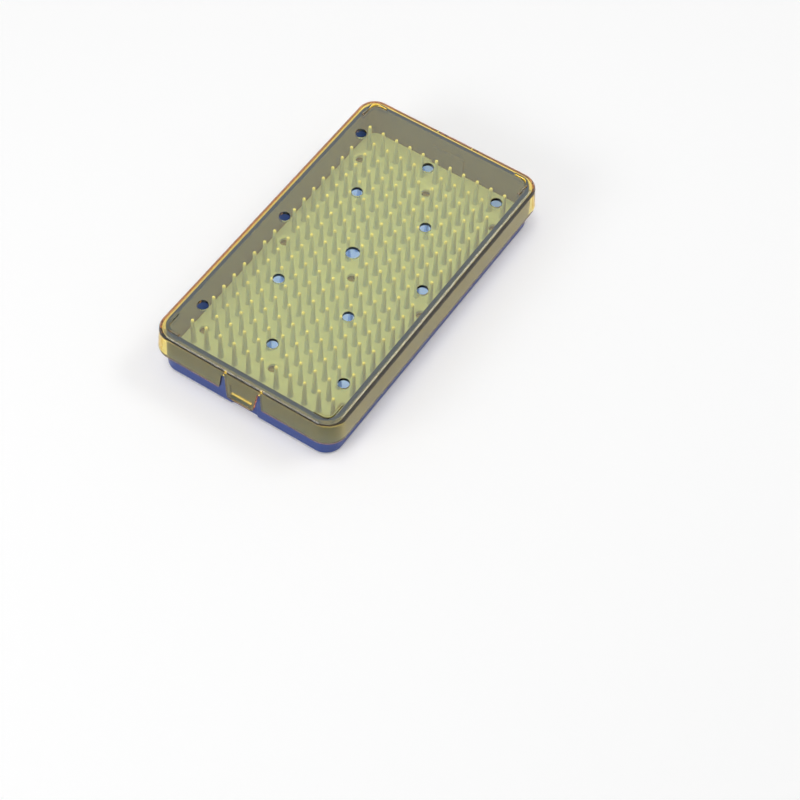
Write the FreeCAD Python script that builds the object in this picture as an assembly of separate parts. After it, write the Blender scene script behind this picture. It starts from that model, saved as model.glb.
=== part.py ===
import FreeCAD, Part
import math
import os

# Sterilization box for small instruments: a base tray, a mat of upright soft
# fingers lying in it, and a clear lid that covers the tray like a cap.
#
# Frame: millimetres. The origin is the centre of the closed box's footprint, on
# the plane it stands on. +X runs across the short side, +Y along the long side,
# +Z is up. Every "half" size is measured from the box's middle.

# DRIVING SIZES

# Closed box
LID_TOP_HALF_X = 52.8        # half width across the flat sides, at the lid's top
LID_TOP_HALF_Y = 94.8        # half length, at the lid's top
CLOSED_HEIGHT = 28.2         # standing plane to the lid's top face

# Pattern that the steam holes, the mat's holes and the fingers share
HOLE_TO_SIDE = 11.8          # outer holes' centres to the lid's top edge, long sides
HOLE_TO_END = 26.0           # the same at the short sides
FINGERS_PER_SPACING_X = 5
FINGERS_PER_SPACING_Y = 8
FINGER_COLUMNS_EACH_SIDE = 5
FINGER_ROWS_EACH_SIDE = 9

# Lid
LID_WALL = 2.0
LID_CORNER_R = 10.0
LID_EDGE_R = 3.0
LID_SKIRT_HEIGHT = 14.8
LID_DRAFT = 0.087            # outward lean of the skirt, mm per mm of depth
STEAM_HOLE_R = 2.9
CENTRE_HOLE_R = 3.6

# Stacking ribs on the lid's corners
RIB_HEIGHT = 1.0
RIB_WIDTH = 1.5
RIB_INSET_X = 4.6
RIB_INSET_Y = 3.6
RIB_CORNER_R = 4.5
RIB_ARM_X = 9.2
RIB_ARM_Y = 11.2

# Snap tongue in each short side of the lid
TONGUE_BELOW_SKIRT = 3.7
TONGUE_HALF_ROOT = 9.4
TONGUE_HALF_TIP = 7.5
TONGUE_TIP_R = 1.4
SLOT_TOP_DEPTH = 4.6         # lid's top face to the top of each slot
SLOT_WIDTH_TOP = 1.9
SLOT_WIDTH_SKIRT = 4.2
HOOK_HALF_WIDTH = 6.0
HOOK_HEIGHT = 2.4
HOOK_TO_BASE = 0.3           # running gap, so that the lid lifts off freely

# Base tray
BASE_GAP = 0.45              # between the lid's wall and the tray's, at the top
BASE_WALL = 2.3
BASE_CORNER_R = 9.0
BASE_FOOT_CHAMFER = 0.9
FLOOR_THICKNESS = 2.2
FOOT_HEIGHT = 3.6            # the floor's underside stands this far off the plane
FOOT_WIDTH = 3.4
FLOOR_HOLE_R = 2.5

# Catch for each snap tongue: a pocket outside and a boss inside the end wall
CATCH_JOG = 1.2
CATCH_HALF_WIDTH = 9.3
CATCH_TOP_DEPTH = 9.0        # lid's top face to the boss's top
CATCH_SIDE_WALL = 1.8
CATCH_ROOF = 2.0

# Finger mat
MAT_THICKNESS = 2.0
MAT_GAP_X = 0.55
MAT_GAP_Y = 0.35             # to the end walls and round the catches' bosses
MAT_CORNER_R = 6.2
MAT_HOLE_R = 2.5
FINGER_BASE_R = 1.5
FINGER_TIP_R = 0.85
FINGER_SIDES = 6             # flats round each finger, which is round in the real mat
FINGER_TO_LID = 1.3

# DERIVED SIZES

LID_UNDERSIDE = CLOSED_HEIGHT - LID_WALL
SKIRT_BOTTOM = CLOSED_HEIGHT - LID_SKIRT_HEIGHT
TONGUE_BOTTOM = SKIRT_BOTTOM - TONGUE_BELOW_SKIRT

BASE_HALF_X = LID_TOP_HALF_X - LID_WALL - BASE_GAP
BASE_HALF_Y = LID_TOP_HALF_Y - LID_WALL - BASE_GAP
TRAY_HALF_X = BASE_HALF_X - BASE_WALL
TRAY_HALF_Y = BASE_HALF_Y - BASE_WALL
FLOOR_TOP = FOOT_HEIGHT + FLOOR_THICKNESS

MAT_HALF_X = TRAY_HALF_X - MAT_GAP_X
MAT_HALF_Y = TRAY_HALF_Y - MAT_GAP_Y
MAT_TOP = FLOOR_TOP + MAT_THICKNESS
FINGER_HEIGHT = LID_UNDERSIDE - FINGER_TO_LID - MAT_TOP
HOLE_SPACING_X = LID_TOP_HALF_X - HOLE_TO_SIDE
HOLE_SPACING_Y = LID_TOP_HALF_Y - HOLE_TO_END
FINGER_PITCH_X = HOLE_SPACING_X / FINGERS_PER_SPACING_X
FINGER_PITCH_Y = HOLE_SPACING_Y / FINGERS_PER_SPACING_Y


def vec(x, y, z):
    """A point or direction."""
    return FreeCAD.Vector(x, y, z)


# PLAIN SHAPES

def rounded_rectangle(half_x, half_y, radius, z):
    """Closed wire: a rectangle with round corners, level at height z."""
    edges = []
    inner_x = half_x - radius
    inner_y = half_y - radius
    diagonal = radius * math.sqrt(0.5)
    corners = [(1, 1), (-1, 1), (-1, -1), (1, -1)]
    starts = []
    ends = []
    for sx, sy in corners:
        along_x = vec(sx * half_x, sy * inner_y, z)
        along_y = vec(sx * inner_x, sy * half_y, z)
        first, last = (along_x, along_y) if sx * sy > 0 else (along_y, along_x)
        middle = vec(sx * (inner_x + diagonal), sy * (inner_y + diagonal), z)
        edges.append(Part.Arc(first, middle, last).toShape())
        starts.append(first)
        ends.append(last)
    for index in range(4):
        edges.append(Part.makeLine(ends[index], starts[(index + 1) % 4]))
    return Part.Wire(Part.__sortEdges__(edges))


def rounded_block(half_x, half_y, radius, z_low, z_high):
    """Upright block with round corners."""
    face = Part.Face(rounded_rectangle(half_x, half_y, radius, z_low))
    return face.extrude(vec(0, 0, z_high - z_low))


def leaning_block(half_x, half_y, radius, z_low, z_high):
    """Block that widens downward by LID_DRAFT; its sizes are those at the lid's top face."""
    wires = []
    for z in (z_low, z_high):
        lean = LID_DRAFT * (CLOSED_HEIGHT - z)
        wires.append(rounded_rectangle(half_x + lean, half_y + lean, radius + lean, z))
    return Part.makeLoft(wires, True, True)


def level_edges(shape, z, tolerance=0.01):
    """Edges of a shape that lie wholly at height z."""
    found = []
    for edge in shape.Edges:
        box = edge.BoundBox
        if abs(box.ZMin - z) < tolerance and abs(box.ZMax - z) < tolerance:
            found.append(edge)
    return found


def hole_centres():
    """The nine places where the lid, the mat and the tray's floor are pierced."""
    return [(column * HOLE_SPACING_X, row * HOLE_SPACING_Y)
            for column in (-1, 0, 1)
            for row in (-1, 0, 1)]


def hole_pins(centres, radius, z_low, z_high):
    """Round cutters that stand at the given centres."""
    return [Part.makeCylinder(radius, z_high - z_low, vec(x, y, z_low)) for x, y in centres]


def profile_along_y(points, half_length):
    """Solid from a closed outline in the XZ plane, run both ways along Y."""
    closed = points + [points[0]]
    wire = Part.makePolygon([vec(x, -half_length, z) for x, z in closed])
    return Part.Face(wire).extrude(vec(0, 2 * half_length, 0))


def mirrored_in_x(shape):
    """The same shape on the other side of the YZ plane."""
    return shape.mirror(vec(0, 0, 0), vec(1, 0, 0))


def mirrored_in_y(shape):
    """The same shape on the other side of the XZ plane."""
    return shape.mirror(vec(0, 0, 0), vec(0, 1, 0))


# BASE TRAY

def catch_pocket():
    """Cutter for the pocket in the +Y end wall, open at the foot."""
    half = CATCH_HALF_WIDTH - CATCH_SIDE_WALL
    ceiling = CLOSED_HEIGHT - CATCH_TOP_DEPTH - CATCH_ROOF
    return Part.makeBox(2 * half, CATCH_JOG + 1, ceiling + 1, vec(-half, BASE_HALF_Y - CATCH_JOG, -1))


def catch_boss():
    """The end wall's jog into the tray behind the pocket."""
    top = CLOSED_HEIGHT - CATCH_TOP_DEPTH
    depth = CATCH_JOG + BASE_WALL / 2
    corner = vec(-CATCH_HALF_WIDTH, TRAY_HALF_Y - CATCH_JOG, FLOOR_TOP - FLOOR_THICKNESS / 2)
    return Part.makeBox(2 * CATCH_HALF_WIDTH, depth, top - corner.z, corner)


def make_base_tray():
    """Tray with upright walls on a foot rim, its floor pierced and its ends jogged."""
    outside = rounded_block(BASE_HALF_X, BASE_HALF_Y, BASE_CORNER_R, 0, LID_UNDERSIDE)
    outside = outside.makeChamfer(BASE_FOOT_CHAMFER, level_edges(outside, 0))
    inside = rounded_block(TRAY_HALF_X, TRAY_HALF_Y, BASE_CORNER_R - BASE_WALL,
                           FLOOR_TOP, LID_UNDERSIDE + 1)
    under = rounded_block(BASE_HALF_X - FOOT_WIDTH, BASE_HALF_Y - FOOT_WIDTH,
                          BASE_CORNER_R - FOOT_WIDTH, -1, FOOT_HEIGHT)
    tray = outside.cut([inside, under])

    boss = catch_boss()
    tray = tray.fuse([boss, mirrored_in_y(boss)])
    pocket = catch_pocket()
    holes = hole_pins(hole_centres(), FLOOR_HOLE_R, 0, FLOOR_TOP + 1)
    return tray.cut([pocket, mirrored_in_y(pocket)] + holes).removeSplitter()


# FINGER MAT

def finger_centres():
    """Grid places of the fingers, without those that the holes take."""
    centres = []
    for column in range(-FINGER_COLUMNS_EACH_SIDE, FINGER_COLUMNS_EACH_SIDE + 1):
        for row in range(-FINGER_ROWS_EACH_SIDE, FINGER_ROWS_EACH_SIDE + 1):
            if column % FINGERS_PER_SPACING_X or row % FINGERS_PER_SPACING_Y:
                centres.append((column * FINGER_PITCH_X, row * FINGER_PITCH_Y))
    return centres


def make_finger():
    """One tapered finger at the origin, rooted halfway down the sheet."""
    root = MAT_THICKNESS / 2
    taper = (FINGER_BASE_R - FINGER_TIP_R) / FINGER_HEIGHT
    rings = []
    for radius, z in ((FINGER_BASE_R + taper * root, MAT_TOP - root),
                      (FINGER_TIP_R, MAT_TOP + FINGER_HEIGHT)):
        ring = []
        for side in range(FINGER_SIDES):
            angle = 2 * math.pi * (side + 0.5) / FINGER_SIDES
            ring.append(vec(radius * math.cos(angle), radius * math.sin(angle), z))
        rings.append(ring + [ring[0]])
    low, high = rings
    faces = [Part.Face(Part.makePolygon(low)), Part.Face(Part.makePolygon(high))]
    for side in range(FINGER_SIDES):
        corners = [low[side], low[side + 1], high[side + 1], high[side], low[side]]
        faces.append(Part.Face(Part.makePolygon(corners)))
    return Part.makeSolid(Part.makeShell(faces))


def boss_notch():
    """Cutter for the notch that lets the sheet's +Y edge pass round the catch's boss."""
    half = CATCH_HALF_WIDTH + MAT_GAP_Y
    edge = TRAY_HALF_Y - CATCH_JOG - MAT_GAP_Y
    return Part.makeBox(2 * half, CATCH_JOG + 1, MAT_THICKNESS + 2, vec(-half, edge, FLOOR_TOP - 1))


def make_finger_mat():
    """One moulded sheet, notched at its ends, with upright fingers and round holes."""
    sheet = rounded_block(MAT_HALF_X, MAT_HALF_Y, MAT_CORNER_R, FLOOR_TOP, MAT_TOP)
    notch = boss_notch()
    holes = hole_pins(hole_centres(), MAT_HOLE_R, FLOOR_TOP - 1, MAT_TOP + 1)
    sheet = sheet.cut([notch, mirrored_in_y(notch)] + holes)
    finger = make_finger()
    fingers = [finger.translated(vec(x, y, 0)) for x, y in finger_centres()]
    return sheet.fuse(fingers).removeSplitter()


# LID

def side_cutter():
    """Cutter for one side: a slot beside each tongue, and all that is below the skirt."""
    slot_top = CLOSED_HEIGHT - SLOT_TOP_DEPTH
    round_r = SLOT_WIDTH_TOP / 2
    round_z = slot_top - round_r
    low = TONGUE_BOTTOM - 2
    lean = (TONGUE_HALF_ROOT - TONGUE_HALF_TIP) / (round_z - TONGUE_BOTTOM)
    inner_low = TONGUE_HALF_TIP - lean * (TONGUE_BOTTOM - low)
    tongue_at_skirt = TONGUE_HALF_TIP + lean * (SKIRT_BOTTOM - TONGUE_BOTTOM)
    outer_low = tongue_at_skirt + SLOT_WIDTH_SKIRT
    outer_top = TONGUE_HALF_ROOT + SLOT_WIDTH_TOP
    far = LID_TOP_HALF_X + LID_WALL + 5
    outline = [(TONGUE_HALF_ROOT, round_z), (outer_top, round_z), (outer_low, SKIRT_BOTTOM),
               (far, SKIRT_BOTTOM), (far, low), (inner_low, low)]
    reach = LID_TOP_HALF_Y + LID_WALL + 5
    slot = profile_along_y(outline, reach)
    end = Part.makeCylinder(round_r, 2 * reach, vec(TONGUE_HALF_ROOT + round_r, -reach, round_z),
                            vec(0, 1, 0))
    return slot.fuse(end)


def stacking_rib():
    """The raised rib of the +X +Y corner: two straight arms joined by a round bend."""
    outer_x = LID_TOP_HALF_X - RIB_INSET_X
    outer_y = LID_TOP_HALF_Y - RIB_INSET_Y
    low = CLOSED_HEIGHT - LID_WALL / 2
    high = CLOSED_HEIGHT + RIB_HEIGHT
    outer = rounded_block(outer_x, outer_y, RIB_CORNER_R, low, high)
    inner = rounded_block(outer_x - RIB_WIDTH, outer_y - RIB_WIDTH, RIB_CORNER_R - RIB_WIDTH,
                          low - 1, high + 1)
    ring = outer.cut(inner)
    corner = vec(outer_x - RIB_ARM_X, outer_y - RIB_ARM_Y, low)
    return ring.common(Part.makeBox(RIB_ARM_X, RIB_ARM_Y, high - low, corner))


def snap_hook():
    """Ridge inside the tip of the +Y tongue."""
    z_low = TONGUE_BOTTOM + 0.4
    z_high = z_low + HOOK_HEIGHT
    face_y = LID_TOP_HALF_Y - LID_WALL + LID_DRAFT * (CLOSED_HEIGHT - z_low)
    tip_y = BASE_HALF_Y + HOOK_TO_BASE
    root_y = face_y + LID_WALL / 2
    points = [(root_y, z_low), (face_y, z_low), (tip_y, z_high - 0.6), (tip_y, z_high),
              (root_y, z_high)]
    closed = points + [points[0]]
    wire = Part.makePolygon([vec(-HOOK_HALF_WIDTH, y, z) for y, z in closed])
    return Part.Face(wire).extrude(vec(2 * HOOK_HALF_WIDTH, 0, 0))


def tongue_tip_edges(shape):
    """The short corner edges at the tips of both tongues."""
    found = []
    for edge in level_edges(shape, TONGUE_BOTTOM):
        box = edge.BoundBox
        if box.XLength < 0.01 and abs(abs(box.XMin) - TONGUE_HALF_TIP) < 0.05:
            found.append(edge)
    return found


def lid_hole_centres():
    """Steam holes: the shared nine places and the middle of each field between them."""
    fields = [(sx * HOLE_SPACING_X / 2, sy * HOLE_SPACING_Y / 2)
              for sx in (-1, 1)
              for sy in (-1, 1)]
    return hole_centres() + fields


def make_lid():
    """Cap with a leaning skirt, steam holes, stacking ribs and two snap tongues."""
    outside = leaning_block(LID_TOP_HALF_X, LID_TOP_HALF_Y, LID_CORNER_R,
                            TONGUE_BOTTOM, CLOSED_HEIGHT)
    outside = outside.makeFillet(LID_EDGE_R, level_edges(outside, CLOSED_HEIGHT))
    inside = leaning_block(LID_TOP_HALF_X - LID_WALL, LID_TOP_HALF_Y - LID_WALL,
                           LID_CORNER_R - LID_WALL, TONGUE_BOTTOM - 1, LID_UNDERSIDE)
    cutter = side_cutter()
    lid = outside.cut([inside, cutter, mirrored_in_x(cutter)])
    lid = lid.makeFillet(TONGUE_TIP_R, tongue_tip_edges(lid))

    rib = stacking_rib()
    hook = snap_hook()
    added = [hook, mirrored_in_y(hook), rib, mirrored_in_x(rib), mirrored_in_y(rib),
             mirrored_in_x(mirrored_in_y(rib))]
    lid = lid.fuse(added)
    low = LID_UNDERSIDE - 1
    high = CLOSED_HEIGHT + 1
    outer_holes = [centre for centre in lid_hole_centres() if centre != (0, 0)]
    pins = hole_pins(outer_holes, STEAM_HOLE_R, low, high)
    pins += hole_pins([(0, 0)], CENTRE_HOLE_R, low, high)
    return lid.cut(pins).removeSplitter()


# ALL PIECES

def main():
    """Build each piece and write it as its own STEP file."""
    pieces = {
        "base_tray": make_base_tray(),
        "finger_mat": make_finger_mat(),
        "lid": make_lid(),
    }
    os.makedirs("parts", exist_ok=True)
    for name, shape in pieces.items():
        solids = shape.Solids
        if len(solids) != 1 or not solids[0].isValid():
            raise ValueError("%s is not one valid solid" % name)
        solid = solids[0]
        box = solid.BoundBox
        print("%-11s %7.2f cm3  x %6.2f..%6.2f  y %6.2f..%6.2f  z %5.2f..%5.2f"
              % (name, solid.Volume / 1000, box.XMin, box.XMax, box.YMin, box.YMax,
                 box.ZMin, box.ZMax))
        solid.exportStep("parts/%s.step" % name)


main()
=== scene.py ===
import logging
import math
from dataclasses import dataclass
from enum import Enum

import bmesh
import bpy
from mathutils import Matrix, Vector


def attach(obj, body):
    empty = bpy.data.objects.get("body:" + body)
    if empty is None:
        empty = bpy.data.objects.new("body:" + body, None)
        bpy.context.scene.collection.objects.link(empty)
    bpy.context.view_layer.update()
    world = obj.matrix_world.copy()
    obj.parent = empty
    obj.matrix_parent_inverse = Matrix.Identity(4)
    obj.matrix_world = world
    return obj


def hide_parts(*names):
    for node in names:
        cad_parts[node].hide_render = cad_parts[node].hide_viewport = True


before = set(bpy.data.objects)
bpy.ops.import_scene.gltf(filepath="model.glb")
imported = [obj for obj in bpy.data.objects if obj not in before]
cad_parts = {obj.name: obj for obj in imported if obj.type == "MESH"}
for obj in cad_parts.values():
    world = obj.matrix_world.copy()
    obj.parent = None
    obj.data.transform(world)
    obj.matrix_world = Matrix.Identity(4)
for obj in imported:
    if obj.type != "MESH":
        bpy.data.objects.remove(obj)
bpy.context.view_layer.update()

log = logging.getLogger("sterilization_box")

MM = 0.001
WHITE = (1.0, 1.0, 1.0, 1.0)


def srgb(hex_code: str) -> tuple[float, float, float, float]:
    """Turn an sRGB hex colour into Blender's linear colour.

    Args:
        hex_code: Six hex digits, with or without a leading #.

    Returns:
        Linear red, green, blue and an alpha of 1.
    """
    digits = hex_code.lstrip("#")
    channels = []
    for start in (0, 2, 4):
        value = int(digits[start:start + 2], 16) / 255
        channels.append(value / 12.92 if value <= 0.04045 else ((value + 0.055) / 1.055) ** 2.4)
    return (channels[0], channels[1], channels[2], 1.0)


def add_node(tree: bpy.types.NodeTree, kind: str, settings: dict | None = None,
             links: dict | None = None) -> bpy.types.Node:
    """Add one node to a tree.

    Args:
        tree: The material's or the world's node tree.
        kind: The node's type name.
        settings: Socket names or numbers with constant values, and attributes with a leading dot.
        links: Input socket names or numbers with the output sockets that feed them.

    Returns:
        The new node.
    """
    node = tree.nodes.new(kind)
    for name, value in (settings or {}).items():
        if isinstance(name, str) and name.startswith("."):
            setattr(node, name[1:], value)
        else:
            node.inputs[name].default_value = value
    for name, output in (links or {}).items():
        tree.links.new(output, node.inputs[name])
    return node


def new_material(name: str) -> tuple[bpy.types.Material, bpy.types.NodeTree]:
    """Make an empty node material.

    Args:
        name: The material's name.

    Returns:
        The material and its node tree.
    """
    material = bpy.data.materials.new(name)
    material.use_nodes = True
    material.node_tree.nodes.clear()
    return material, material.node_tree


def object_from_bmesh(name: str, mesh: bmesh.types.BMesh) -> bpy.types.Object:
    """Put a finished bmesh into the scene as an object.

    Args:
        name: The object's name.
        mesh: The geometry, which is freed here.

    Returns:
        The new object.
    """
    open_edges = sum(1 for edge in mesh.edges if not edge.is_manifold)
    log.info("%s: %d faces, %d open edges", name, len(mesh.faces), open_edges)
    data = bpy.data.meshes.new(name)
    mesh.to_mesh(data)
    mesh.free()
    piece = bpy.data.objects.new(name, data)
    bpy.context.scene.collection.objects.link(piece)
    return piece


def extent_mm(piece: bpy.types.Object) -> tuple[Vector, Vector]:
    """Measure an object's box in the part's frame.

    Args:
        piece: The object.

    Returns:
        The low and the high corner in mm.
    """
    corners = [piece.matrix_world @ Vector(corner) / MM for corner in piece.bound_box]
    low = Vector([min(corner[axis] for corner in corners) for axis in range(3)])
    high = Vector([max(corner[axis] for corner in corners) for axis in range(3)])
    return low, high


@dataclass(frozen=True)
class Rounding:
    """How the sharp edges between two heights are rounded."""

    width_mm: float
    segments: int = 2
    above_mm: float = -1000.0
    below_mm: float = 1000.0
    sharp_degrees: float = 30.0

    def apply(self, mesh: bmesh.types.BMesh) -> None:
        """Round a mesh's sharp edges.

        Args:
            mesh: The moulding's mesh, in metres.
        """
        edges = [edge for edge in mesh.edges
                 if edge.is_manifold
                 and edge.calc_face_angle() > math.radians(self.sharp_degrees)
                 and min(vert.co.z for vert in edge.verts) > self.above_mm * MM
                 and max(vert.co.z for vert in edge.verts) < self.below_mm * MM]
        bmesh.ops.bevel(mesh, geom=edges, offset=self.width_mm * MM, offset_type="OFFSET",
                        segments=self.segments, profile=0.5, affect="EDGES", clamp_overlap=False)


def softened(source: bpy.types.Object, name: str, *roundings: Rounding,
             merge_mm: float = 0.001, flat_degrees: float = 0.2) -> bpy.types.Object:
    """Copy a packed moulding and take the sharpness off its edges, as a real tool does.

    Args:
        source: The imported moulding, which stays as it is.
        name: The copy's name.
        roundings: The roundings, in the order in which they are made.
        merge_mm: Vertices nearer than this become one.
        flat_degrees: Faces that meet at less than this become one.

    Returns:
        The copy, smooth where the moulding is round and flat where it is flat.
    """
    mesh = bmesh.new()
    mesh.from_mesh(source.data)
    mesh.transform(source.matrix_world)
    bmesh.ops.remove_doubles(mesh, verts=mesh.verts, dist=merge_mm * MM)
    bmesh.ops.dissolve_limit(mesh, angle_limit=math.radians(flat_degrees),
                             verts=mesh.verts, edges=mesh.edges)
    for rounding in roundings:
        rounding.apply(mesh)
    bmesh.ops.recalc_face_normals(mesh, faces=mesh.faces)
    piece = object_from_bmesh(name, mesh)
    piece.data.shade_smooth()
    weighted = piece.modifiers.new("flat_faces_stay_flat", "WEIGHTED_NORMAL")
    weighted.keep_sharp = True
    weighted.weight = 100
    return piece


class Piece(Enum):
    """The separate mouldings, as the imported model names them."""

    TRAY = "base_tray"
    MAT = "finger_mat"
    LID = "lid"


class Body(Enum):
    """The bodies that the mouldings ride on."""

    TRAY = "tray"
    LID = "lid"


@dataclass(frozen=True)
class AmberPolysulfone:
    """Polysulfone, injection moulded in a polished tool.

    Clear with an amber tint that is pale through one wall and turns red-brown where the eye
    looks along the plastic, with hard, bright reflections that wiping has dulled in patches.
    """

    surface_tint: str = "#FFFFFF"
    roughness: float = 0.012
    roughness_wiped: float = 0.045
    wiping_mm: float = 18.0
    wiping_span: tuple[float, float] = (0.35, 0.75)
    ior: float = 1.6
    depth_colour: tuple[float, float, float] = (0.955, 0.85, 0.03)
    depth_per_metre: float = 700.0

    def make(self) -> bpy.types.Material:
        """Build the material.

        Returns:
            The clear amber plastic.
        """
        material, tree = new_material("polysulfone_moulded_clear_amber")
        place = add_node(tree, "ShaderNodeTexCoord")
        wiping = add_node(tree, "ShaderNodeTexNoise", {
            "Scale": 1 / (self.wiping_mm * MM),
            "Detail": 4.0,
        }, {"Vector": place.outputs["Object"]})
        haze = add_node(tree, "ShaderNodeMapRange", {
            "From Min": self.wiping_span[0],
            "From Max": self.wiping_span[1],
            "To Min": self.roughness,
            "To Max": self.roughness_wiped,
        }, {"Value": wiping.outputs["Fac"]})
        shader = add_node(tree, "ShaderNodeBsdfPrincipled", {
            "Base Color": srgb(self.surface_tint),
            "IOR": self.ior,
            "Transmission Weight": 1.0,
        }, {"Roughness": haze.outputs["Result"]})
        depth = add_node(tree, "ShaderNodeVolumeAbsorption", {
            "Color": (*self.depth_colour, 1.0),
            "Density": self.depth_per_metre,
        })
        add_node(tree, "ShaderNodeOutputMaterial", None, {
            "Surface": shader.outputs["BSDF"],
            "Volume": depth.outputs["Volume"],
        })
        return material


@dataclass(frozen=True)
class BluePolypropylene:
    """Filled polypropylene, injection moulded in a fine-textured tool.

    Opaque royal blue with faint clouds from the melt's flow, and a half gloss that a fine
    grain breaks up.
    """

    colour: str = "#1F3D86"
    colour_flow: str = "#274690"
    flow_mm: float = 40.0
    roughness: float = 0.34
    ior: float = 1.49
    # The real grain is finer. It is drawn this coarse so that it shows.
    grain_mm: float = 0.45
    grain_height_mm: float = 0.04
    grain_strength: float = 0.12

    def make(self) -> bpy.types.Material:
        """Build the material.

        Returns:
            The blue moulded plastic.
        """
        material, tree = new_material("polypropylene_moulded_fine_grain")
        place = add_node(tree, "ShaderNodeTexCoord")
        flow = add_node(tree, "ShaderNodeTexNoise", {
            "Scale": 1 / (self.flow_mm * MM),
            "Detail": 3.0,
        }, {"Vector": place.outputs["Object"]})
        tint = add_node(tree, "ShaderNodeMix", {
            ".data_type": "RGBA",
            6: srgb(self.colour),
            7: srgb(self.colour_flow),
        }, {"Factor": flow.outputs["Fac"]})
        grain = add_node(tree, "ShaderNodeTexNoise", {
            "Scale": 1 / (self.grain_mm * MM),
            "Detail": 2.0,
        }, {"Vector": place.outputs["Object"]})
        bump = add_node(tree, "ShaderNodeBump", {
            "Strength": self.grain_strength,
            "Distance": self.grain_height_mm * MM,
        }, {"Height": grain.outputs["Fac"]})
        shader = add_node(tree, "ShaderNodeBsdfPrincipled", {
            "Roughness": self.roughness,
            "IOR": self.ior,
        }, {"Base Color": tint.outputs[2], "Normal": bump.outputs["Normal"]})
        add_node(tree, "ShaderNodeOutputMaterial", None, {"Surface": shader.outputs["BSDF"]})
        return material


@dataclass(frozen=True)
class PaleSilicone:
    """Silicone rubber, compression moulded.

    Pale and cloudy, with light that soaks in and softens the shadows, and a satin skin. The
    fingertips are painted paler towards the top, a painted highlight where overhead light catches
    them.
    """

    colour: str = "#9DBBEE"
    colour_cloudy: str = "#A5C1F0"
    # Colour of the painted highlight on the fingertips.
    colour_tip_painted_highlight: str = "#CBD8E0"
    cloud_mm: float = 25.0
    # How far below the fingertips the painted highlight starts, and where it is full.
    tip_highlight_fade_mm: tuple[float, float] = (1.9, 0.7)
    roughness: float = 0.28
    ior: float = 1.41
    soak: float = 0.35
    soak_mm: float = 2.2
    # The real grain is finer. It is drawn this coarse so that it shows.
    grain_mm: float = 0.35
    grain_height_mm: float = 0.03
    grain_strength: float = 0.10

    def make(self, tip_z: float) -> bpy.types.Material:
        """Build the material.

        Args:
            tip_z: Height of the fingertips in mm.

        Returns:
            The cloudy silicone.
        """
        material, tree = new_material("silicone_moulded_satin")
        place = add_node(tree, "ShaderNodeTexCoord")
        cloud = add_node(tree, "ShaderNodeTexNoise", {
            "Scale": 1 / (self.cloud_mm * MM),
            "Detail": 3.0,
        }, {"Vector": place.outputs["Object"]})
        tint = add_node(tree, "ShaderNodeMix", {
            ".data_type": "RGBA",
            6: srgb(self.colour),
            7: srgb(self.colour_cloudy),
        }, {"Factor": cloud.outputs["Fac"]})
        axes = add_node(tree, "ShaderNodeSeparateXYZ", None, {0: place.outputs["Object"]})
        # Painted highlight: the colour turns paler towards the fingertips, by height alone.
        height = add_node(tree, "ShaderNodeMapRange", {
            "From Min": (tip_z - self.tip_highlight_fade_mm[0]) * MM,
            "From Max": (tip_z - self.tip_highlight_fade_mm[1]) * MM,
        }, {"Value": axes.outputs["Z"]})
        painted_tip_highlight = add_node(tree, "ShaderNodeMix", {
            ".data_type": "RGBA",
            7: srgb(self.colour_tip_painted_highlight),
        }, {"Factor": height.outputs["Result"], 6: tint.outputs[2]})
        grain = add_node(tree, "ShaderNodeTexNoise", {
            "Scale": 1 / (self.grain_mm * MM),
            "Detail": 2.0,
        }, {"Vector": place.outputs["Object"]})
        bump = add_node(tree, "ShaderNodeBump", {
            "Strength": self.grain_strength,
            "Distance": self.grain_height_mm * MM,
        }, {"Height": grain.outputs["Fac"]})
        shader = add_node(tree, "ShaderNodeBsdfPrincipled", {
            "Roughness": self.roughness,
            "IOR": self.ior,
            "Subsurface Weight": self.soak,
            "Subsurface Radius": (1.0, 1.0, 1.0),
            "Subsurface Scale": self.soak_mm * MM,
        }, {"Base Color": painted_tip_highlight.outputs[2], "Normal": bump.outputs["Normal"]})
        add_node(tree, "ShaderNodeOutputMaterial", None, {"Surface": shader.outputs["BSDF"]})
        return material


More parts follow.
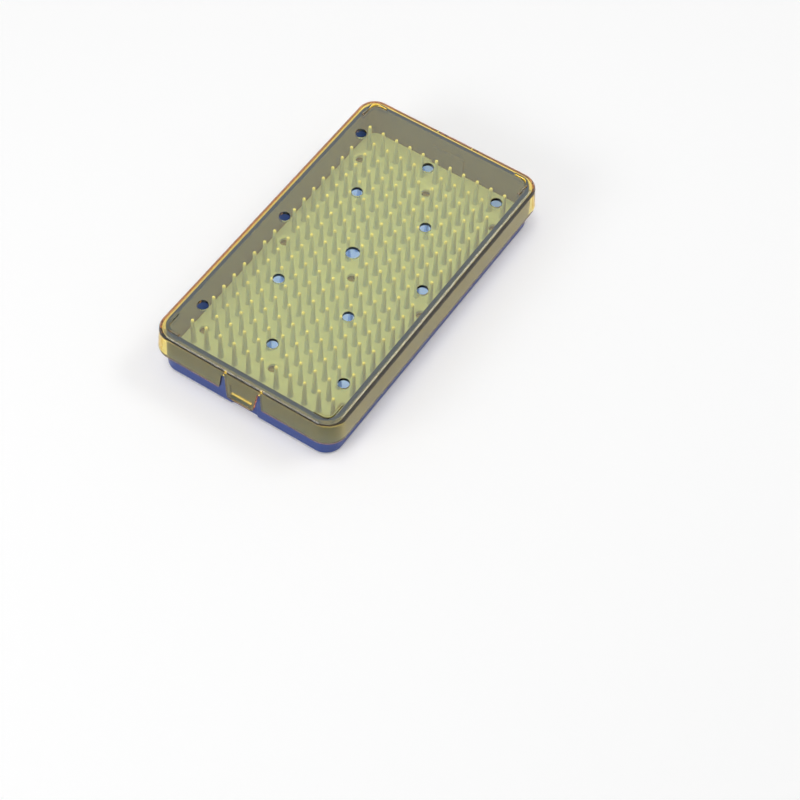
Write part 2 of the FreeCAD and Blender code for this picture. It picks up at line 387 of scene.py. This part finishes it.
@dataclass
class FingerMat:
    """The soft mat: a sheet with rows of upright fingers and nine round holes. Sizes in mm."""

    half_x: float
    half_y: float
    low: float
    tip_z: float
    thickness: float = 2.0
    pitch_x: float = 8.2
    pitch_y: float = 8.6
    columns_each_side: int = 5
    rows_each_side: int = 9
    columns_per_hole: int = 5
    rows_per_hole: int = 8
    corner_r: float = 6.2
    corner_steps: int = 10
    notch_half: float = 9.65
    notch_depth: float = 1.2
    edge_r: float = 0.3
    edge_degrees: tuple[float, ...] = (90, 60, 30, 0)
    hole_r: float = 2.5
    hole_lip: float = 0.25
    finger_r: float = 1.5
    tip_r: float = 0.85
    root_r: float = 0.45
    root_steps: int = 3
    shaft_shares: tuple[float, ...] = (0.33, 0.67, 1.0)
    dome_degrees: tuple[float, ...] = (25, 48, 68)
    around: int = 16
    smooth_degrees: float = 50.0
    finish: PaleSilicone = PaleSilicone()

    @classmethod
    def fitted(cls) -> "FingerMat":
        """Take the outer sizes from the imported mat."""
        low, high = extent_mm(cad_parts[Piece.MAT.value])
        return cls(half_x=high.x, half_y=high.y, low=low.z, tip_z=high.z)

    @property
    def top(self) -> float:
        """Height of the sheet's upper face in mm."""
        return self.low + self.thickness

    def is_hole(self, column: int, row: int) -> bool:
        """Tell whether a grid place holds a hole instead of a finger."""
        return column % self.columns_per_hole == 0 and row % self.rows_per_hole == 0

    def finger_profile(self) -> list[tuple[float, float]]:
        """Work out one finger's profile.

        Returns:
            Radius and height pairs in mm, from the sheet's face up to the foot of the tip's pole.
        """
        points = []
        for step in range(self.root_steps + 1):
            angle = math.radians(90 * step / self.root_steps)
            radius = self.finger_r + self.root_r * (1 - math.sin(angle))
            points.append((radius, self.top + self.root_r * (1 - math.cos(angle))))
        shaft_low = self.top + self.root_r
        shaft_high = self.tip_z - self.tip_r
        for share in self.shaft_shares:
            radius = self.finger_r + (self.tip_r - self.finger_r) * share
            points.append((radius, shaft_low + (shaft_high - shaft_low) * share))
        for degrees in self.dome_degrees:
            angle = math.radians(degrees)
            points.append((self.tip_r * math.cos(angle), shaft_high + self.tip_r * math.sin(angle)))
        return points

    def cell_ring(self, mesh: bmesh.types.BMesh, pool: dict, centre: tuple[float, float],
                  z: float) -> list[bmesh.types.BMVert]:
        """Find or make the vertices round one grid cell.

        Args:
            mesh: The mesh under construction.
            pool: Vertices by rounded place, which neighbouring cells share.
            centre: The cell's centre in mm.
            z: The height in mm.

        Returns:
            As many vertices as the finger has round it, anticlockwise from the +X +Y corner.
        """
        side = self.around // 4
        corners = [(0.5, 0.5), (-0.5, 0.5), (-0.5, -0.5), (0.5, -0.5)]
        ring = []
        for index in range(4):
            x0, y0 = corners[index]
            x1, y1 = corners[(index + 1) % 4]
            for step in range(side):
                share = step / side
                x = centre[0] + self.pitch_x * (x0 + (x1 - x0) * share)
                y = centre[1] + self.pitch_y * (y0 + (y1 - y0) * share)
                key = (round(x, 3), round(y, 3), round(z, 3))
                if key not in pool:
                    pool[key] = mesh.verts.new((x * MM, y * MM, z * MM))
                ring.append(pool[key])
        return ring

    def circle(self, mesh: bmesh.types.BMesh, centre: tuple[float, float], radius: float,
               z: float) -> list[bmesh.types.BMVert]:
        """Make one round ring of vertices.

        Args:
            mesh: The mesh under construction.
            centre: The ring's centre in mm.
            radius: The ring's radius in mm.
            z: The height in mm.

        Returns:
            The vertices, anticlockwise from the one towards +X +Y.
        """
        ring = []
        for step in range(self.around):
            angle = math.radians(45) + 2 * math.pi * step / self.around
            x = centre[0] + radius * math.cos(angle)
            y = centre[1] + radius * math.sin(angle)
            ring.append(mesh.verts.new((x * MM, y * MM, z * MM)))
        return ring

    @staticmethod
    def join(mesh: bmesh.types.BMesh, outer: list[bmesh.types.BMVert],
             inner: list[bmesh.types.BMVert]) -> None:
        """Fill the band between two rings of equal count with quads.

        Args:
            mesh: The mesh under construction.
            outer: One ring.
            inner: The other ring, in the same order.
        """
        count = len(outer)
        for index in range(count):
            after = (index + 1) % count
            mesh.faces.new((outer[index], outer[after], inner[after], inner[index]))

    def outline(self, mesh: bmesh.types.BMesh, inset: float, z: float) -> list[bmesh.types.BMVert]:
        """Make a closed loop along the sheet's edge, with a notch at each short end.

        Args:
            mesh: The mesh under construction.
            inset: How far inside the sheet's edge the loop lies, in mm.
            z: The height in mm.

        Returns:
            The loop's vertices, anticlockwise.
        """
        core_x = self.half_x - self.corner_r
        core_y = self.half_y - self.corner_r
        radius = self.corner_r - inset
        side = self.notch_half + inset
        edge = self.half_y - inset
        notch = [(side, edge), (side, edge - self.notch_depth),
                 (-side, edge - self.notch_depth), (-side, edge)]
        points = []
        for sx, sy, start in ((1, 1, 0), (-1, 1, 90), (-1, -1, 180), (1, -1, 270)):
            for step in range(self.corner_steps + 1):
                angle = math.radians(start + 90 * step / self.corner_steps)
                points.append((sx * core_x + radius * math.cos(angle),
                               sy * core_y + radius * math.sin(angle)))
            if sx == sy:
                points += [(sx * x, sy * y) for x, y in notch]
        return [mesh.verts.new((x * MM, y * MM, z * MM)) for x, y in points]

    def border(self, mesh: bmesh.types.BMesh, pool: dict, z: float,
               rim: list[bmesh.types.BMVert]) -> None:
        """Fill the flat strip between the grid of cells and a loop near the sheet's edge.

        Args:
            mesh: The mesh under construction.
            pool: The cells' shared vertices.
            z: The strip's height in mm.
            rim: The loop near the edge.
        """
        limit_x = round((self.columns_each_side + 0.5) * self.pitch_x, 3)
        limit_y = round((self.rows_each_side + 0.5) * self.pitch_y, 3)
        level = round(z, 3)
        on_edge = {vert for (x, y, height), vert in pool.items()
                   if height == level and (abs(x) == limit_x or abs(y) == limit_y)}
        edges = [edge for edge in mesh.edges
                 if edge.verts[0] in on_edge and edge.verts[1] in on_edge and edge.is_boundary]
        for index, vert in enumerate(rim):
            after = rim[(index + 1) % len(rim)]
            edge = mesh.edges.get((vert, after)) or mesh.edges.new((vert, after))
            edges.append(edge)
        bmesh.ops.triangle_fill(mesh, use_beauty=True, use_dissolve=False, edges=edges)

    def pierce(self, mesh: bmesh.types.BMesh, centre: tuple[float, float],
               above: list[bmesh.types.BMVert], below: list[bmesh.types.BMVert]) -> None:
        """Fill one grid cell with a round hole that has a small chamfer.

        Args:
            mesh: The mesh under construction.
            centre: The cell's centre in mm.
            above: The cell's ring on the sheet's upper face.
            below: The cell's ring on its lower face.
        """
        lip = self.circle(mesh, centre, self.hole_r + self.hole_lip, self.top)
        throat = self.circle(mesh, centre, self.hole_r, self.top - self.hole_lip)
        foot = self.circle(mesh, centre, self.hole_r, self.low)
        self.join(mesh, above, lip)
        self.join(mesh, lip, throat)
        self.join(mesh, throat, foot)
        self.join(mesh, foot, below)

    def raise_finger(self, mesh: bmesh.types.BMesh, centre: tuple[float, float],
                     above: list[bmesh.types.BMVert], below: list[bmesh.types.BMVert]) -> None:
        """Fill one grid cell with a finger.

        Args:
            mesh: The mesh under construction.
            centre: The cell's centre in mm.
            above: The cell's ring on the sheet's upper face.
            below: The cell's ring on its lower face.
        """
        ring = above
        for radius, z in self.finger_profile():
            following = self.circle(mesh, centre, radius, z)
            self.join(mesh, ring, following)
            ring = following
        pole = mesh.verts.new((centre[0] * MM, centre[1] * MM, self.tip_z * MM))
        for index, vert in enumerate(ring):
            mesh.faces.new((vert, ring[(index + 1) % self.around], pole))
        mesh.faces.new(list(reversed(below)))

    def build(self) -> bpy.types.Object:
        """Mould the mat as one closed surface.

        Returns:
            The mat's object, without its finish.
        """
        mesh = bmesh.new()
        pool: dict = {}
        for column in range(-self.columns_each_side, self.columns_each_side + 1):
            for row in range(-self.rows_each_side, self.rows_each_side + 1):
                centre = (column * self.pitch_x, row * self.pitch_y)
                above = self.cell_ring(mesh, pool, centre, self.top)
                below = self.cell_ring(mesh, pool, centre, self.low)
                fill = self.pierce if self.is_hole(column, row) else self.raise_finger
                fill(mesh, centre, above, below)
        loops = []
        for degrees in self.edge_degrees:
            angle = math.radians(degrees)
            inset = self.edge_r * (1 - math.cos(angle))
            loops.append(self.outline(mesh, inset, self.top - self.edge_r * (1 - math.sin(angle))))
        loops.append(self.outline(mesh, 0.0, self.low))
        for upper, lower in zip(loops, loops[1:]):
            self.join(mesh, lower, upper)
        self.border(mesh, pool, self.top, loops[0])
        self.border(mesh, pool, self.low, loops[-1])
        bmesh.ops.recalc_face_normals(mesh, faces=mesh.faces)
        return object_from_bmesh("finger_mat_moulding", mesh)

    def dress(self, piece: bpy.types.Object) -> None:
        """Smooth the mat and give it its finish.

        Args:
            piece: The mat's object.
        """
        piece.data.shade_smooth()
        piece.data.set_sharp_from_angle(angle=math.radians(self.smooth_degrees))
        piece.data.materials.append(self.finish.make(self.tip_z))

    def place(self) -> bpy.types.Object:
        """Make the mat stand for its plain solid on the tray.

        Returns:
            The finished mat.
        """
        piece = self.build()
        self.dress(piece)
        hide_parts(Piece.MAT.value)
        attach(piece, Body.TRAY.value)
        return piece


@dataclass
class BaseTray:
    """The blue tray that holds the mat."""

    edges: Rounding = Rounding(0.3)
    finish: BluePolypropylene = BluePolypropylene()

    def place(self) -> bpy.types.Object:
        """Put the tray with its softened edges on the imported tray's place.

        Returns:
            The tray.
        """
        tray = softened(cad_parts[Piece.TRAY.value], "base_tray_moulding", self.edges)
        tray.data.materials.append(self.finish.make())
        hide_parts(Piece.TRAY.value)
        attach(tray, Body.TRAY.value)
        return tray


@dataclass
class Lid:
    """The clear amber lid with its steam holes, ribs and snap tongues."""

    rib_round_mm: float = 0.6
    rim_mm: float = 13.4
    rim_reach_mm: float = 0.1
    rim_round_mm: float = 0.85
    round_steps: int = 5
    edges: Rounding = Rounding(0.22)
    finish: AmberPolysulfone = AmberPolysulfone()

    def place(self) -> bpy.types.Object:
        """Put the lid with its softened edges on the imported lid's place.

        Returns:
            The lid.
        """
        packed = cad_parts[Piece.LID.value]
        rib_tops = Rounding(self.rib_round_mm, self.round_steps,
                            extent_mm(packed)[1].z - self.rib_round_mm)
        rim = Rounding(self.rim_round_mm, self.round_steps,
                       self.rim_mm - self.rim_reach_mm, self.rim_mm + self.rim_reach_mm)
        lid = softened(packed, "lid_moulding", rib_tops, rim, self.edges)
        lid.data.materials.append(self.finish.make())
        # Clear plastic lets nearly all of the lamps' light through to the mat.
        lid.visible_shadow = False
        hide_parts(Piece.LID.value)
        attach(lid, Body.LID.value)
        return lid


@dataclass(frozen=True)
class Softbox:
    """One rectangular soft lamp that faces the box. Sizes in metres."""

    name: str
    place: tuple[float, float, float]
    size: tuple[float, float]
    # How bright its face looks, where 1 is white.
    radiance: float
    # Whether its face shows in and through clear and glossy plastic.
    mirrored: bool = True

    def hang(self) -> None:
        """Hang the lamp in the studio."""
        light = bpy.data.lights.new(self.name, "AREA")
        light.shape = "RECTANGLE"
        light.size, light.size_y = self.size
        light.energy = self.radiance * math.pi * self.size[0] * self.size[1]
        lamp = bpy.data.objects.new(self.name, light)
        lamp.rotation_euler = (-Vector(self.place)).to_track_quat("-Z", "Y").to_euler()
        lamp.location = self.place
        lamp.visible_glossy = self.mirrored
        lamp.visible_transmission = self.mirrored
        bpy.context.scene.collection.objects.link(lamp)


@dataclass
class Studio:
    """Floor, sky, lamps and camera. Lengths in metres where the name doesn't say mm."""

    floor_colour: str = "#FAFAFA"
    floor_roughness: float = 0.9
    floor_lift: float = 0.06
    floor_half: float = 6.0
    floor_fade: tuple[float, float] = (0.32, 0.85)
    ambient: float = 0.38
    round_level: float = 1.0
    glow_from: tuple[float, float, float] = (0.0, 0.0, 1.0)
    glow_level: float = 1.9
    glow_inner_degrees: float = 47.0
    glow_outer_degrees: float = 60.0
    lamps: tuple[Softbox, ...] = (
        Softbox("softbox_top", (-0.15, -0.1, 1.7), (0.6, 0.6), 9.6, mirrored=False),
        Softbox("softbox_front", (-0.6, -1.45, 0.75), (1.0, 0.5), 5.0),
        Softbox("softbox_right", (0.72, 0.90, 1.25), (0.7, 0.45), 4.5),
    )
    camera_mm: tuple[float, float, float] = (361.455, -573.067, 841.741)
    camera_turn: tuple[float, float, float, float] = (0.909987, 0.300560, 0.068822, 0.277220)
    focal_mm: float = 96.285
    sensor_mm: float = 36.0
    sight: float = 50.0

    @staticmethod
    def seen(tree: bpy.types.NodeTree) -> bpy.types.NodeSocket:
        """Tell apart what is looked at, also in or through plastic, from what only gives light.

        Args:
            tree: The floor's or the sky's node tree.

        Returns:
            An output that is 1 for what is looked at and 0 for light.
        """
        path = add_node(tree, "ShaderNodeLightPath")
        straight = add_node(tree, "ShaderNodeMath", {".operation": "MAXIMUM"},
                            {0: path.outputs["Is Camera Ray"], 1: path.outputs["Is Glossy Ray"]})
        either = add_node(tree, "ShaderNodeMath", {".operation": "MAXIMUM"},
                          {0: straight.outputs[0], 1: path.outputs["Is Transmission Ray"]})
        return either.outputs[0]

    def floor(self) -> None:
        """Lay the pale floor, which keeps the box's shadow and turns plain white further off."""
        mesh = bmesh.new()
        bmesh.ops.create_grid(mesh, x_segments=1, y_segments=1, size=self.floor_half)
        floor = object_from_bmesh("studio_floor", mesh)
        material, tree = new_material("studio_floor_matte_paper")
        seen = self.seen(tree)
        lift = add_node(tree, "ShaderNodeMath", {
            ".operation": "MULTIPLY",
            1: self.floor_lift,
        }, {0: seen})
        paper = add_node(tree, "ShaderNodeBsdfPrincipled", {
            "Base Color": srgb(self.floor_colour),
            "Roughness": self.floor_roughness,
            "Emission Color": WHITE,
        }, {"Emission Strength": lift.outputs[0]})
        place = add_node(tree, "ShaderNodeTexCoord")
        distance = add_node(tree, "ShaderNodeVectorMath", {".operation": "LENGTH"},
                            {0: place.outputs["Object"]})
        far = add_node(tree, "ShaderNodeMapRange", {
            ".interpolation_type": "SMOOTHSTEP",
            "From Min": self.floor_fade[0],
            "From Max": self.floor_fade[1],
        }, {"Value": distance.outputs["Value"], "To Max": seen})
        white = add_node(tree, "ShaderNodeEmission", {"Color": WHITE, "Strength": 1.0})
        faded = add_node(tree, "ShaderNodeMixShader", None, {
            0: far.outputs["Result"],
            1: paper.outputs["BSDF"],
            2: white.outputs["Emission"],
        })
        add_node(tree, "ShaderNodeOutputMaterial", None, {"Surface": faded.outputs["Shader"]})
        floor.data.materials.append(material)

    def sky(self) -> None:
        """Light the studio all round.

        The eye sees plain white. Plastic mirrors white too, with a soft glow overhead.
        """
        world = bpy.data.worlds.new("studio_sky")
        world.use_nodes = True
        bpy.context.scene.world = world
        tree = world.node_tree
        tree.nodes.clear()
        place = add_node(tree, "ShaderNodeTexCoord")
        facing = add_node(tree, "ShaderNodeVectorMath", {
            ".operation": "DOT_PRODUCT",
            1: self.glow_from,
        }, {0: place.outputs["Generated"]})
        glow = add_node(tree, "ShaderNodeMapRange", {
            ".interpolation_type": "SMOOTHSTEP",
            "From Min": math.cos(math.radians(self.glow_outer_degrees)),
            "From Max": math.cos(math.radians(self.glow_inner_degrees)),
            "To Min": self.round_level,
            "To Max": self.glow_level,
        }, {"Value": facing.outputs["Value"]})
        mirrored = add_node(tree, "ShaderNodeMapRange", {"To Min": self.ambient},
                            {"Value": self.seen(tree), "To Max": glow.outputs["Result"]})
        path = add_node(tree, "ShaderNodeLightPath")
        level = add_node(tree, "ShaderNodeMapRange", {"To Max": 1.0}, {
            "Value": path.outputs["Is Camera Ray"],
            "To Min": mirrored.outputs["Result"],
        })
        sky = add_node(tree, "ShaderNodeBackground", {"Color": WHITE},
                       {"Strength": level.outputs["Result"]})
        add_node(tree, "ShaderNodeOutputWorld", None, {"Surface": sky.outputs["Background"]})

    def camera(self) -> None:
        """Stand the camera where the photograph was taken from."""
        data = bpy.data.cameras.new("photo_camera")
        data.lens = self.focal_mm
        data.sensor_width = self.sensor_mm
        data.clip_end = self.sight
        camera = bpy.data.objects.new("photo_camera", data)
        camera.rotation_mode = "QUATERNION"
        camera.rotation_quaternion = self.camera_turn
        camera.location = Vector(self.camera_mm) * MM
        bpy.context.scene.collection.objects.link(camera)
        bpy.context.scene.camera = camera

    def set_up(self) -> None:
        """Build the whole studio."""
        self.floor()
        self.sky()
        for lamp in self.lamps:
            lamp.hang()
        self.camera()
        bpy.context.scene.view_settings.view_transform = "Standard"


def main() -> None:
    """Build and report every piece, in order."""
    logging.basicConfig(level=logging.INFO, format="%(name)s: %(message)s")
    for maker in (BaseTray(), FingerMat.fitted(), Lid()):
        piece = maker.place()
        log.info("%s: %d vertices", piece.name, len(piece.data.vertices))
    Studio().set_up()


if __name__ == "__main__":
    main()
